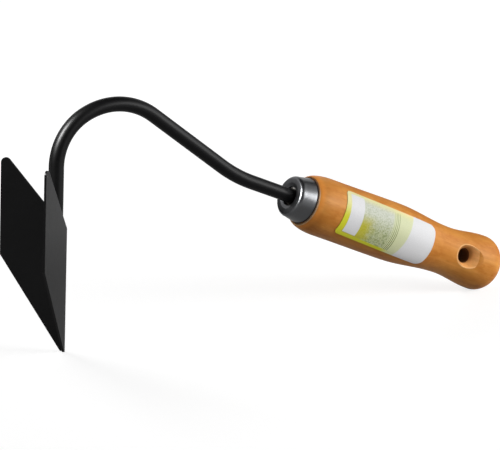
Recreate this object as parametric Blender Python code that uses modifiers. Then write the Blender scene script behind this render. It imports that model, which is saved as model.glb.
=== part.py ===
# Furrow hoe: a folded plough blade on a bent steel shank, driven into a turned wooden handle.
# Metres, +Z up. The tool stands on the point of its blade and on the butt of its handle.

import math

import bmesh
import bpy
import numpy as np

# Fits between the pieces
SEAT_GAP = 0.0003
SHOULDER_GAP = 0.0008

# Blade: one flat blank, folded along its middle, with the keel towards the handle
BLANK_WIDTH = 0.074
BLANK_THICKNESS = 0.0012
FOLD_ANGLE = math.radians(90)
FOLD_INNER_RADIUS = 0.0012
KEEL_LENGTH = 0.0696
TOP_RISE = 0.0414
BOTTOM_RISE = 0.0537
TOP_CORNER_RADIUS = 0.0028
TIP_FLAT = 0.0042

# Shank: one steel rod, from its weld in the fold to its tang in the handle
ROD_DIAMETER = 0.008
WELDED_LENGTH = 0.030
NECK_RISE = 0.034
FIRST_ARCH_RADIUS = 0.0315
FIRST_ARCH_TURN = math.radians(60)
SECOND_ARCH_RADIUS = 0.040
SECOND_ARCH_TURN = math.radians(64)
SLOPE_LENGTH = 0.054
SWAN_RADIUS = 0.088
SWAN_TURN = math.radians(14.5)
LEAD_LENGTH = 0.0279
TANG_LENGTH = 0.0629
TANG_POINT_LENGTH = 0.006
TANG_POINT_DIAMETER = 0.004

# Weld beads along the rod, one in each wing
BEAD_LENGTH = 0.024
BEAD_START = 0.003
BEAD_DIAMETER = 0.0048
BEAD_HEIGHT = 0.0018
BEAD_RIPPLE = 0.00018
BEAD_RIPPLES = 10

# Ferrule: a drawn cap over the handle's tenon
FERRULE_LENGTH = 0.0104
FERRULE_FRONT_DIAMETER = 0.0243
FERRULE_FLARE = 0.00125
FERRULE_WALL = 0.001
FERRULE_CORNER_RADIUS = 0.0020
FERRULE_HOLE_ROOM = 0.0017
FERRULE_LIP = 0.0003
FERRULE_DISH_SLOPE = 0.0018
FERRULE_DISH_DEPTH = 0.0010

# Handle: lengths follow each other from the ferrule to the butt
SHOULDER_STEP = 0.00175
SHOULDER_LENGTH = 0.0139
GRIP_DIAMETER = 0.0346
GRIP_LENGTH = 0.052
BELLY_DIAMETER = 0.0354
TAPER_LENGTH = 0.044
WAIST_DIAMETER = 0.0292
FLARE_LENGTH = 0.0295
SWELL_DIAMETER = 0.0344
BUTT_LENGTH = 0.0135
TENON_CHAMFER = 0.0008
BORE_END_ROOM = 0.001

# Hanging hole, drilled across the handle
HOLE_DIAMETER = 0.0085
HOLE_FROM_BUTT = 0.0339
HOLE_TURN = math.radians(5)
COUNTERSINK_DIAMETER = 0.0176
COUNTERSINK_ANGLE = math.radians(90)

# Paper label, stuck round the side of the grip
LABEL_FROM_FERRULE = 0.0291
LABEL_LENGTH = 0.071
LABEL_WIDTH = 0.0286
LABEL_THICKNESS = 0.0002
LABEL_CORNER_RADIUS = 0.003
LABEL_TILT = math.radians(-2.7)
LABEL_GAP = 0.0003

# Fineness of the round shapes
TURNED_STEPS = 64
ROD_ROUNDING = 6
BEND_STEP = math.radians(4)
MERGE = 0.00001
SMOOTH_BELOW = math.radians(32)


def empty_scene():
    for old in list(bpy.data.objects):
        bpy.data.objects.remove(old, do_unlink=True)


def new_collection(name):
    made = bpy.data.collections.new(name)
    bpy.context.scene.collection.children.link(made)
    return made


def finish_of(name, colour, roughness, metallic=0.0):
    made = bpy.data.materials.new(name)
    made.use_nodes = True
    shader = made.node_tree.nodes["Principled BSDF"]
    shader.inputs["Base Color"].default_value = (*colour, 1.0)
    shader.inputs["Roughness"].default_value = roughness
    shader.inputs["Metallic"].default_value = metallic
    made.diffuse_color = (*colour, 1.0)
    return made


def place(name, data, parent, finish=None, collection=None):
    made = bpy.data.objects.new(name, data)
    (collection or parts).objects.link(made)
    made.parent = parent
    if finish:
        data.materials.append(finish)
    return made


def sharpen(piece):
    """Keeps a smooth-shaded piece crisp at its real edges."""
    modifier = piece.modifiers.new("crisp edges", "EDGE_SPLIT")
    modifier.split_angle = SMOOTH_BELOW


def cutter(name, data, parent):
    made = place(name, data, parent, collection=cutters)
    made.hide_render = True
    made.display_type = "WIRE"
    return made


def cut(piece, tool):
    modifier = piece.modifiers.new(f"cut by {tool.name}", "BOOLEAN")
    modifier.operation = "DIFFERENCE"
    modifier.solver = "EXACT"
    modifier.object = tool


def skin(name, stations):
    """An open surface through stations, each a list of as many points."""
    surface = bmesh.new()
    rows = [[surface.verts.new(point) for point in station] for station in stations]
    for this, following in zip(rows, rows[1:]):
        for i in range(len(this) - 1):
            surface.faces.new((this[i], this[i + 1], following[i + 1], following[i]))
    mesh = bpy.data.meshes.new(name)
    surface.to_mesh(mesh)
    surface.free()
    mesh.shade_smooth()
    return mesh


def thicken(piece, thickness):
    modifier = piece.modifiers.new("thickness", "SOLIDIFY")
    modifier.thickness = thickness
    modifier.offset = 0.0
    modifier.use_even_offset = True


def turned(name, profile, closed):
    """A mesh of the profile's (radius, height) points, for a Screw modifier round Z."""
    outline = bmesh.new()
    corners = [outline.verts.new((radius, 0.0, height)) for radius, height in profile]
    for first, second in zip(corners, corners[1:]):
        outline.edges.new((first, second))
    if closed:
        outline.edges.new((corners[-1], corners[0]))
    mesh = bpy.data.meshes.new(name)
    outline.to_mesh(mesh)
    outline.free()
    return mesh


def spin(piece):
    modifier = piece.modifiers.new("turned", "SCREW")
    modifier.steps = TURNED_STEPS
    modifier.render_steps = TURNED_STEPS
    modifier.use_merge_vertices = True
    modifier.merge_threshold = MERGE
    modifier.use_smooth_shade = True


def arc(centre, radius, start, end, steps):
    return [
        (centre[0] + radius * math.cos(angle), centre[1] + radius * math.sin(angle))
        for angle in np.linspace(start, end, steps + 1)
    ]


# Blade

half_fold = FOLD_ANGLE / 2
fold_middle_radius = FOLD_INNER_RADIUS + BLANK_THICKNESS / 2
fold_half_length = fold_middle_radius * (math.pi / 2 - half_fold)
# The rod lies in the trough of the fold, so the fold stands this far from the rod's axis.
inner_apex = (ROD_DIAMETER / 2 + SEAT_GAP) / math.sin(half_fold)
fold_centre = inner_apex - FOLD_INNER_RADIUS / math.sin(half_fold)


def on_blade(across, height):
    """The folded place of a point of the flat blank, across from the keel and up from its top."""
    side = math.copysign(1.0, across)
    turn = min(abs(across), fold_half_length) / fold_middle_radius
    beyond = max(abs(across) - fold_half_length, 0.0)
    x = fold_centre + fold_middle_radius * math.cos(turn) - beyond * math.cos(half_fold)
    y = fold_middle_radius * math.sin(turn) + beyond * math.sin(half_fold)
    return (x, side * y, height)


def blank_columns():
    """The blank's half outline as columns: distance from the keel, lower end, upper end."""
    half = BLANK_WIDTH / 2
    top_slope = math.atan2(TOP_RISE, half)
    bottom_slope = BOTTOM_RISE / half

    def lower(across):
        return -KEEL_LENGTH + max(across, TIP_FLAT / 2) * bottom_slope

    plain = list(np.linspace(0.0, fold_half_length, 5))
    plain.append(max(TIP_FLAT / 2, fold_half_length * 1.01))
    columns = [(x, lower(x), x * math.tan(top_slope)) for x in plain]
    corner_x = half - TOP_CORNER_RADIUS
    corner_z = corner_x * math.tan(top_slope) - TOP_CORNER_RADIUS / math.cos(top_slope)
    rounding = arc((corner_x, corner_z), TOP_CORNER_RADIUS, math.pi / 2 + top_slope, 0.0, 8)
    columns += [(x, lower(x), z) for x, z in rounding]
    return columns


def make_blade(parent, finish):
    half = blank_columns()
    whole = [(-x, low, high) for x, low, high in reversed(half[1:])] + half
    stations = [[on_blade(x, low), on_blade(x, high)] for x, low, high in whole]
    blade = place("furrow_blade", skin("furrow_blade", stations), parent, finish)
    thicken(blade, BLANK_THICKNESS)
    sharpen(blade)
    return blade


# Shank

def bend(points, heading, radius, turn):
    """Adds an arc to the route and returns its heading. A positive turn is to the left."""
    side = math.copysign(math.pi / 2, turn)
    x, z = points[-1]
    centre = (x + radius * math.cos(heading + side), z + radius * math.sin(heading + side))
    steps = math.ceil(abs(turn) / BEND_STEP)
    points += arc(centre, radius, heading - side, heading - side + turn, steps)[1:]
    return heading + turn


def run(points, heading, length):
    x, z = points[-1]
    points.append((x + length * math.cos(heading), z + length * math.sin(heading)))


def shank_route():
    """The rod's axis in the plane of the tool, to the ferrule's face, and its heading there."""
    points = [(0.0, -WELDED_LENGTH), (0.0, NECK_RISE)]
    heading = bend(points, math.pi / 2, FIRST_ARCH_RADIUS, -FIRST_ARCH_TURN)
    heading = bend(points, heading, SECOND_ARCH_RADIUS, -SECOND_ARCH_TURN)
    run(points, heading, SLOPE_LENGTH)
    heading = bend(points, heading, SWAN_RADIUS, SWAN_TURN)
    run(points, heading, LEAD_LENGTH)
    return points, heading


def tube(name, points, diameter, rounding, widths=None):
    """A round bar along points, each with its share of the diameter."""
    line = bpy.data.curves.new(name, "CURVE")
    line.dimensions = "3D"
    line.bevel_depth = diameter / 2
    line.bevel_resolution = rounding
    line.use_fill_caps = True
    spline = line.splines.new("POLY")
    spline.points.add(len(points) - 1)
    for i, (point, at) in enumerate(zip(spline.points, points)):
        point.co = (*at, 1.0)
        point.radius = widths[i] if widths else 1.0
    spline.use_smooth = True
    return line


def make_shank(parent, finish):
    route, heading = shank_route()
    run(route, heading, TANG_LENGTH - TANG_POINT_LENGTH)
    run(route, heading, TANG_POINT_LENGTH)
    widths = [1.0] * (len(route) - 1) + [TANG_POINT_DIAMETER / ROD_DIAMETER]
    points = [(x, 0.0, z) for x, z in route]
    line = tube("gooseneck_shank", points, ROD_DIAMETER, ROD_ROUNDING, widths)
    sharpen(place("gooseneck_shank", line, parent, finish))


# Weld beads

def meshed(piece):
    """The curve object as a mesh object with welded caps, which a Boolean can cut."""
    graph = bpy.context.evaluated_depsgraph_get()
    mesh = bpy.data.meshes.new_from_object(piece.evaluated_get(graph))
    solid = bmesh.new()
    solid.from_mesh(mesh)
    bmesh.ops.remove_doubles(solid, verts=solid.verts, dist=MERGE)
    bmesh.ops.recalc_face_normals(solid, faces=solid.faces)
    solid.to_mesh(mesh)
    solid.free()
    name, parent, line = piece.name, piece.parent, piece.data
    bpy.data.objects.remove(piece, do_unlink=True)
    bpy.data.curves.remove(line)
    return place(name, mesh, parent)


# The middle of a bead lies under the flank of the rod.
bead_reach = ROD_DIAMETER / 2 + SEAT_GAP


def wing_directions(side):
    """Along the wing from the keel, and off its inner face, as flat directions."""
    along = np.array((-math.cos(half_fold), side * math.sin(half_fold)))
    inward = np.array((-math.sin(half_fold), -side * math.cos(half_fold)))
    return along, inward


def rod_clearance(parent):
    length = WELDED_LENGTH + 2 * BEAD_DIAMETER
    solid = bmesh.new()
    radius = ROD_DIAMETER / 2 + SEAT_GAP
    bmesh.ops.create_cone(
        solid, cap_ends=True, segments=32, radius1=radius, radius2=radius, depth=length
    )
    mesh = bpy.data.meshes.new("rod_clearance")
    solid.to_mesh(mesh)
    solid.free()
    made = cutter("rod_clearance", mesh, parent)
    made.location = (0.0, 0.0, -WELDED_LENGTH / 2)
    return made


def wing_clearance(name, side, parent):
    """A block that fills the wing's side of the bead up to the seat gap."""
    along, inward = wing_directions(side)
    size = 4 * BEAD_DIAMETER
    face = inward * (-ROD_DIAMETER / 2)
    centre = face + along * bead_reach - inward * size / 2
    solid = bmesh.new()
    bmesh.ops.create_cube(solid, size=1.0)
    bmesh.ops.scale(solid, vec=(size, size, WELDED_LENGTH + size), verts=solid.verts)
    mesh = bpy.data.meshes.new(name)
    solid.to_mesh(mesh)
    solid.free()
    made = cutter(name, mesh, parent)
    made.location = (*centre, -WELDED_LENGTH / 2)
    made.rotation_euler = (0.0, 0.0, math.atan2(along[1], along[0]))
    return made


def make_bead(name, side, parent, finish, rod_room):
    along, inward = wing_directions(side)
    foot = inward * (-ROD_DIAMETER / 2 - SEAT_GAP)
    x, y = foot + along * bead_reach + inward * BEAD_HEIGHT
    count = 2 * BEAD_RIPPLES + 1
    heights = np.linspace(-BEAD_START, -BEAD_START - BEAD_LENGTH, count)
    ripple = 2 * BEAD_RIPPLE / BEAD_DIAMETER
    widths = [1.0 + ripple * (1 if i % 2 else -1) for i in range(count)]
    widths[0] = widths[-1] = 0.7
    points = [(x, y, z) for z in heights]
    bead = meshed(place(name, tube(name, points, BEAD_DIAMETER, 3, widths), parent))
    bead.data.materials.append(finish)
    bead.data.shade_smooth()
    cut(bead, rod_room)
    cut(bead, wing_clearance(f"{name}_wing_clearance", side, parent))
    sharpen(bead)


# Ferrule

def make_ferrule(parent, finish):
    front = FERRULE_FRONT_DIAMETER / 2
    rear = front + FERRULE_FLARE
    corner = FERRULE_CORNER_RADIUS
    inner_corner = corner - FERRULE_WALL
    hole = ROD_DIAMETER / 2 + FERRULE_HOLE_ROOM
    dish_floor = hole + FERRULE_LIP
    dish = dish_floor + FERRULE_DISH_SLOPE
    back = FERRULE_DISH_DEPTH + FERRULE_WALL
    # The wall keeps its thickness on the slope of the dish.
    slope = math.atan2(FERRULE_DISH_DEPTH, FERRULE_DISH_SLOPE)
    shift = FERRULE_WALL * math.tan(slope / 2)
    profile = [(rear, FERRULE_LENGTH)]
    profile += arc((front - corner, corner), corner, 0.0, -math.pi / 2, 8)
    profile += [(dish, 0.0), (dish_floor, FERRULE_DISH_DEPTH), (hole, FERRULE_DISH_DEPTH)]
    profile += [(hole, back), (dish_floor + shift, back), (dish + shift, FERRULE_WALL)]
    profile += arc((front - corner, corner), inner_corner, -math.pi / 2, 0.0, 6)
    profile += [(rear - FERRULE_WALL, FERRULE_LENGTH)]
    ferrule = place("ferrule", turned("ferrule", profile, closed=True), parent, finish)
    spin(ferrule)
    sharpen(ferrule)


# Handle

tenon_radius = FERRULE_FRONT_DIAMETER / 2 - FERRULE_WALL - SEAT_GAP
tenon_start = FERRULE_DISH_DEPTH + FERRULE_WALL + SEAT_GAP
shoulder_radius = FERRULE_FRONT_DIAMETER / 2 + SHOULDER_STEP
shoulder_start = FERRULE_LENGTH + SHOULDER_GAP
shoulder_end = shoulder_start + SHOULDER_LENGTH
grip_end = shoulder_end + GRIP_LENGTH
waist_at = grip_end + TAPER_LENGTH
swell_at = waist_at + FLARE_LENGTH
butt_end = swell_at + BUTT_LENGTH
hole_at = butt_end - HOLE_FROM_BUTT


def eased(at, start, end, first, last):
    """A smooth change from one radius to another along the handle."""
    share = (at - start) / (end - start)
    return first + (last - first) * (1 - math.cos(math.pi * share)) / 2


def handle_radius(at):
    """The handle's radius at a distance from the ferrule's face."""
    if at < shoulder_end:
        left = (shoulder_end - at) / SHOULDER_LENGTH
        rise = GRIP_DIAMETER / 2 - shoulder_radius
        return shoulder_radius + rise * math.sqrt(max(0.0, 1 - left * left))
    if at < grip_end:
        return eased(at, shoulder_end, grip_end, GRIP_DIAMETER / 2, BELLY_DIAMETER / 2)
    if at < waist_at:
        return eased(at, grip_end, waist_at, BELLY_DIAMETER / 2, WAIST_DIAMETER / 2)
    if at < swell_at:
        return eased(at, waist_at, swell_at, WAIST_DIAMETER / 2, SWELL_DIAMETER / 2)
    beyond = (at - swell_at) / BUTT_LENGTH
    return SWELL_DIAMETER / 2 * math.sqrt(max(0.0, 1 - beyond * beyond))


def handle_stations():
    """Distances from the ferrule's face, closer where the outline bends more."""
    quarter = np.linspace(0.0, math.pi / 2, 8)
    stations = [shoulder_end - SHOULDER_LENGTH * math.cos(angle) for angle in quarter]
    stations += list(np.linspace(shoulder_end, grip_end, 5)[1:])
    stations += list(np.linspace(grip_end, waist_at, 11)[1:])
    stations += list(np.linspace(waist_at, swell_at, 9)[1:])
    quarter = np.linspace(0.0, math.pi / 2, 10)
    stations += [swell_at + BUTT_LENGTH * math.sin(angle) for angle in quarter[1:]]
    return stations


def hole_cutter(parent):
    """A drill for the hanging hole, with a cone for the countersink at each end."""
    crest = handle_radius(hole_at)
    drill = HOLE_DIAMETER / 2
    mouth = COUNTERSINK_DIAMETER / 2
    spread = math.tan(COUNTERSINK_ANGLE / 2)
    floor = crest - (mouth - drill) / spread
    reach = crest + SWELL_DIAMETER / 4
    wide = mouth + (reach - crest) * spread
    profile = [(0.0, reach), (wide, reach), (drill, floor)]
    profile += [(drill, -floor), (wide, -reach), (0.0, -reach)]
    made = cutter("hanging_hole_drill", turned("hanging_hole_drill", profile, closed=False), parent)
    spin(made)
    made.location = (0.0, 0.0, hole_at)
    made.rotation_euler = (math.pi / 2, 0.0, -HOLE_TURN)
    return made


def make_handle(parent, finish):
    bore = ROD_DIAMETER / 2 + SEAT_GAP
    profile = [(handle_radius(at), at) for at in reversed(handle_stations())]
    profile[0] = (0.0, butt_end)
    profile += [(tenon_radius, shoulder_start), (tenon_radius, tenon_start + TENON_CHAMFER)]
    profile += [(tenon_radius - TENON_CHAMFER, tenon_start), (bore, tenon_start)]
    profile += [(bore, TANG_LENGTH + BORE_END_ROOM), (0.0, TANG_LENGTH + BORE_END_ROOM)]
    handle = place("handle", turned("handle", profile, closed=False), parent, finish)
    spin(handle)
    cut(handle, hole_cutter(parent))
    sharpen(handle)
    return handle


# Label

def on_grip(at, round_it, lift):
    """A point above the grip, at a distance along it and a distance round it from its side."""
    radius = handle_radius(at)
    turn = round_it / radius
    radius += lift
    return (-radius * math.sin(turn), -radius * math.cos(turn), at)


def label_columns():
    """The label's outline: distance from its middle along it, and half its width there."""
    half = LABEL_LENGTH / 2
    corner = LABEL_CORNER_RADIUS
    straight = half - corner
    rounding = [
        (straight + corner * math.sin(angle), LABEL_WIDTH / 2 - corner * (1 - math.cos(angle)))
        for angle in np.linspace(0.0, math.pi / 2, 5)
    ]
    middle = [(x, LABEL_WIDTH / 2) for x in np.linspace(-straight, straight, 15)[1:-1]]
    return [(-x, width) for x, width in reversed(rounding)] + middle + rounding


def make_label(parent, finish):
    middle = LABEL_FROM_FERRULE + LABEL_LENGTH / 2
    lift = LABEL_GAP + LABEL_THICKNESS / 2
    stations = []
    for x, half_width in label_columns():
        station = []
        for y in np.linspace(half_width, -half_width, 13):
            at = middle + x * math.cos(LABEL_TILT) - y * math.sin(LABEL_TILT)
            round_it = x * math.sin(LABEL_TILT) + y * math.cos(LABEL_TILT)
            station.append(on_grip(at, round_it, lift))
        stations.append(station)
    label = place("label", skin("label", stations), parent, finish)
    thicken(label, LABEL_THICKNESS)
    sharpen(label)


# Stance

def points_of(piece, graph):
    """The corners of a finished piece, in world space, as rows of x, y and z."""
    made = piece.evaluated_get(graph)
    mesh = made.to_mesh()
    points = np.array([made.matrix_world @ corner.co for corner in mesh.vertices])
    made.to_mesh_clear()
    return points


def stand_up(frame, blade, handle):
    """Leans the tool until its point and its butt are level, and centres its footprint."""
    bpy.context.view_layer.update()
    graph = bpy.context.evaluated_depsgraph_get()
    front, back = points_of(blade, graph), points_of(handle, graph)

    def lowest(points, lean):
        return (points[:, 2] * math.cos(lean) - points[:, 0] * math.sin(lean)).min()

    low, high = math.radians(-45), math.radians(45)
    for _ in range(40):
        lean = (low + high) / 2
        if lowest(front, lean) < lowest(back, lean):
            low = lean
        else:
            high = lean
    frame.rotation_euler = (0.0, lean, 0.0)
    bpy.context.view_layer.update()
    graph = bpy.context.evaluated_depsgraph_get()
    everything = np.concatenate([points_of(piece, graph) for piece in parts.objects])
    least, most = everything.min(axis=0), everything.max(axis=0)
    frame.location = (-(least[0] + most[0]) / 2, -(least[1] + most[1]) / 2, -least[2])
    bpy.context.view_layer.update()
    print("lean", round(math.degrees(lean), 3), "place", [round(c, 6) for c in frame.location])


empty_scene()
frames = new_collection("frames")
parts = new_collection("furrow_hoe")
cutters = new_collection("cutters")

black_coat = finish_of("black_coat", (0.035, 0.036, 0.038), 0.5)
black_rod = finish_of("black_rod", (0.018, 0.018, 0.019), 0.4)
nickel = finish_of("nickel", (0.56, 0.56, 0.57), 0.2, 1.0)
varnished_wood = finish_of("varnished_wood", (0.60, 0.26, 0.07), 0.35)
printed_paper = finish_of("printed_paper", (0.62, 0.68, 0.42), 0.5)

tool_frame = place("tool_frame", None, None, collection=frames)
handle_frame = place("handle_frame", None, tool_frame, collection=frames)
route, heading = shank_route()
handle_frame.location = (route[-1][0], 0.0, route[-1][1])
handle_frame.rotation_euler = (0.0, math.pi / 2 - heading, 0.0)

furrow_blade = make_blade(tool_frame, black_coat)
make_shank(tool_frame, black_rod)
rod_room = rod_clearance(tool_frame)
make_bead("weld_bead_near", -1, tool_frame, black_coat, rod_room)
make_bead("weld_bead_far", 1, tool_frame, black_coat, rod_room)
make_ferrule(handle_frame, nickel)
wooden_handle = make_handle(handle_frame, varnished_wood)
make_label(handle_frame, printed_paper)
stand_up(tool_frame, furrow_blade, wooden_handle)
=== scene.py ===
import math

import bmesh
import bpy
import numpy as np
from mathutils import Matrix, Vector


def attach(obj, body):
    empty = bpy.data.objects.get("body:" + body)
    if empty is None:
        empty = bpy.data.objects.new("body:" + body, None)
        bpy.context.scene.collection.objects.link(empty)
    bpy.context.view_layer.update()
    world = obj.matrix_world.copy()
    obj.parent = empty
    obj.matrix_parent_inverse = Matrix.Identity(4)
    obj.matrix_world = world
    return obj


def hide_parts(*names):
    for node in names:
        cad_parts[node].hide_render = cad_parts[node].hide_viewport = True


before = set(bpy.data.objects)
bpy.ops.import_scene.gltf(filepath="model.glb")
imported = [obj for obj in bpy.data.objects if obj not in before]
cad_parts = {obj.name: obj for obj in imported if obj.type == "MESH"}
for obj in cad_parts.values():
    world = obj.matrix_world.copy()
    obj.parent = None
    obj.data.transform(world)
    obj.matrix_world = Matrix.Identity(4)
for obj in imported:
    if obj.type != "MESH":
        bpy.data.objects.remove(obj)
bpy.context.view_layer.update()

print("frame loaded")

mm = 0.001
white = (1.0, 1.0, 1.0, 1.0)

# Where the tool's own frame stands: Z up the fold of the blade, X towards the handle.
stance = {"lean": math.radians(1.982), "place": (-0.141492, 0.0, 0.066747)}
toolFrame = Matrix.Translation(stance["place"]) @ Matrix.Rotation(stance["lean"], 4, "Y")


def feed(tree, node, values):
    # a socket is linked to the input, and anything else becomes the input's own value
    for name, value in values.items():
        if isinstance(value, bpy.types.NodeSocket):
            tree.links.new(value, node.inputs[name])
        else:
            node.inputs[name].default_value = value


def addNode(tree, kind, inputs=None, **settings):
    made = tree.nodes.new(kind)
    for name, value in settings.items():
        setattr(made, name, value)
    feed(tree, made, inputs or {})
    return made


def maths(tree, operation, first, second=0.0, third=0.0):
    made = addNode(tree, "ShaderNodeMath", {0: first, 1: second, 2: third}, operation=operation)
    return made.outputs[0]


def times(tree, first, second):
    return maths(tree, "MULTIPLY", first, second)


def hypotenuse(tree, first, second):
    squares = maths(tree, "ADD", times(tree, first, first), times(tree, second, second))
    return maths(tree, "SQRT", squares)


def ramp(tree, value, low, high, start=0.0, end=1.0, kind="SMOOTHSTEP"):
    # start up to low and end from high on; low may be the larger one
    made = addNode(tree, "ShaderNodeMapRange", {
        "Value": value, "From Min": low, "From Max": high, "To Min": start, "To Max": end,
    }, interpolation_type=kind)
    return made.outputs["Result"]


def opaque(colour):
    return colour if isinstance(colour, bpy.types.NodeSocket) else (*colour, 1.0)


def mixed(tree, factor, first, second, blend="MIX"):
    made = addNode(tree, "ShaderNodeMix", {0: factor, 6: opaque(first), 7: opaque(second)},
                   data_type="RGBA", blend_type=blend)
    return made.outputs[2]


def noise(tree, vector, scale, detail, roughness):
    made = addNode(tree, "ShaderNodeTexNoise", {
        "Vector": vector, "Scale": scale, "Detail": detail, "Roughness": roughness,
    })
    return made.outputs["Fac"]


def objectPlace(tree):
    return tree.nodes.new("ShaderNodeTexCoord").outputs["Object"]


def parts(tree, vector):
    return addNode(tree, "ShaderNodeSeparateXYZ", {0: vector}).outputs


def drawnOut(tree, place, along):
    # Z scaled by along: a pattern runs long that way below 1 and is pressed together above
    made = addNode(tree, "ShaderNodeMapping", {"Vector": place, "Scale": (1.0, 1.0, along)})
    return made.outputs[0]


def newGroup(name, inputs, outputs):
    tree = bpy.data.node_groups.new(name, "ShaderNodeTree")
    for title, kind, value in inputs:
        made = tree.interface.new_socket(name=title, in_out="INPUT", socket_type=kind)
        if value is not None:
            made.default_value = value
    for title, kind in outputs:
        tree.interface.new_socket(name=title, in_out="OUTPUT", socket_type=kind)
    return tree, tree.nodes.new("NodeGroupInput").outputs, tree.nodes.new("NodeGroupOutput")


def placeGroup(tree, group, inputs):
    return addNode(tree, "ShaderNodeGroup", inputs, node_tree=group).outputs


def newMaterial(name):
    made = bpy.data.materials.new(name)
    made.use_nodes = True
    tree = made.node_tree
    return made, tree, tree.nodes["Principled BSDF"]


def bumped(tree, shader, height, strength, distance):
    made = addNode(tree, "ShaderNodeBump", {
        "Strength": strength, "Distance": distance, "Height": height,
    })
    feed(tree, shader, {"Normal": made.outputs["Normal"]})


def addObject(name, data):
    made = bpy.data.objects.new(name, data)
    bpy.context.scene.collection.objects.link(made)
    return made


def showPiece(name, mesh, place, material, node):
    made = addObject(name, mesh)
    made.matrix_world = place
    made.data.materials.clear()
    made.data.materials.append(material)
    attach(made, "root")
    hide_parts(node)


def pointsToMesh(name, points, faces):
    mesh = bpy.data.meshes.new(name)
    mesh.from_pydata([tuple(p) for p in points], [], faces)
    mesh.update()
    return mesh


def outward(mesh):
    solid = bmesh.new()
    solid.from_mesh(mesh)
    bmesh.ops.recalc_face_normals(solid, faces=solid.faces)
    solid.to_mesh(mesh)
    solid.free()
    return mesh


def smoothed(mesh, sharpAbove=35):
    mesh.shade_smooth()
    mesh.set_sharp_from_angle(angle=math.radians(sharpAbove))
    return mesh


def baked(source):
    graph = bpy.context.evaluated_depsgraph_get()
    mesh = bpy.data.meshes.new_from_object(source.evaluated_get(graph))
    bpy.data.objects.remove(source, do_unlink=True)
    return mesh


def squareMesh(name, half, height):
    signs = ((-1, -1), (1, -1), (1, 1), (-1, 1))
    return pointsToMesh(name, [(x * half, y * half, height) for x, y in signs], [(0, 1, 2, 3)])


def thickSheet(name, points, rows, thickness):
    # points: one column after the other, rows + 1 points in each
    faces = []
    for column in range(len(points) // (rows + 1) - 1):
        for i in range(rows):
            a = column * (rows + 1) + i
            faces.append((a, a + 1, a + rows + 2, a + rows + 1))
    sheet = addObject(name, pointsToMesh(name, points, faces))
    sheet.data.shade_smooth()
    thick = sheet.modifiers.new("thickness", "SOLIDIFY")
    thick.thickness = thickness
    thick.offset = 0.0
    return sheet


def tubeMesh(name, points, sides):
    # points: one ring after the other; both ends are closed
    faces = []
    for i in range(len(points) // sides - 1):
        for k in range(sides):
            a, b = i * sides + k, i * sides + (k + 1) % sides
            faces.append((a, b, b + sides, a + sides))
    faces.append(tuple(reversed(range(sides))))
    faces.append(tuple(range(len(points) - sides, len(points))))
    return outward(pointsToMesh(name, points, faces))


def latheMesh(name, profile, steps, closedLoop=False):
    # profile: (radius, height) pairs; a point on the axis becomes one vertex
    points, rings = [], []
    for radius, height in profile:
        if radius == 0.0:
            rings.append([len(points)])
            points.append((0.0, 0.0, height))
            continue
        rings.append(list(range(len(points), len(points) + steps)))
        for i in range(steps):
            turn = 2 * math.pi * i / steps
            points.append((radius * math.cos(turn), radius * math.sin(turn), height))
    pairs = list(zip(rings, rings[1:]))
    if closedLoop:
        pairs.append((rings[-1], rings[0]))
    faces = []
    for first, second in pairs:
        for i in range(steps):
            j = (i + 1) % steps
            if len(first) == 1:
                faces.append((first[0], second[j], second[i]))
            elif len(second) == 1:
                faces.append((first[i], first[j], second[0]))
            else:
                faces.append((first[i], first[j], second[j], second[i]))
    return outward(pointsToMesh(name, points, faces))


def arcPoints(centre, radius, start, end, steps):
    return [
        (centre[0] + radius * math.cos(a), centre[1] + radius * math.sin(a))
        for a in np.linspace(start, end, steps + 1)
    ]


camera = {
    "bearing": math.radians(32.99), "dip": math.radians(10.48), "roll": math.radians(2.2),
    "distance": 961.21 * mm, "slide": (-102.21 * mm, 30.29 * mm), "aimAbove": 34.0 * mm,
    "lens": 131.11, "sensor": 36.0, "nearest": 50.0 * mm,
}


def setCamera():
    bearing, dip, roll = camera["bearing"], camera["dip"], camera["roll"]
    ahead = Vector((
        math.cos(dip) * math.sin(bearing), math.cos(dip) * math.cos(bearing), -math.sin(dip)
    ))
    flat = Vector((math.cos(bearing), -math.sin(bearing), 0.0))
    upright = flat.cross(ahead)
    right = flat * math.cos(roll) + upright * math.sin(roll)
    top = upright * math.cos(roll) - flat * math.sin(roll)
    across, up = camera["slide"]
    spot = Vector((0.0, 0.0, camera["aimAbove"])) - ahead * camera["distance"]
    spot -= right * across + top * up
    pose = Matrix((right, top, -ahead)).transposed().to_4x4()
    pose.translation = spot
    data = bpy.data.cameras.new("camera")
    data.lens = camera["lens"]
    data.sensor_width = camera["sensor"]
    data.clip_start = camera["nearest"]
    made = addObject("camera", data)
    made.matrix_world = toolFrame @ pose
    bpy.context.scene.camera = made


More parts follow.
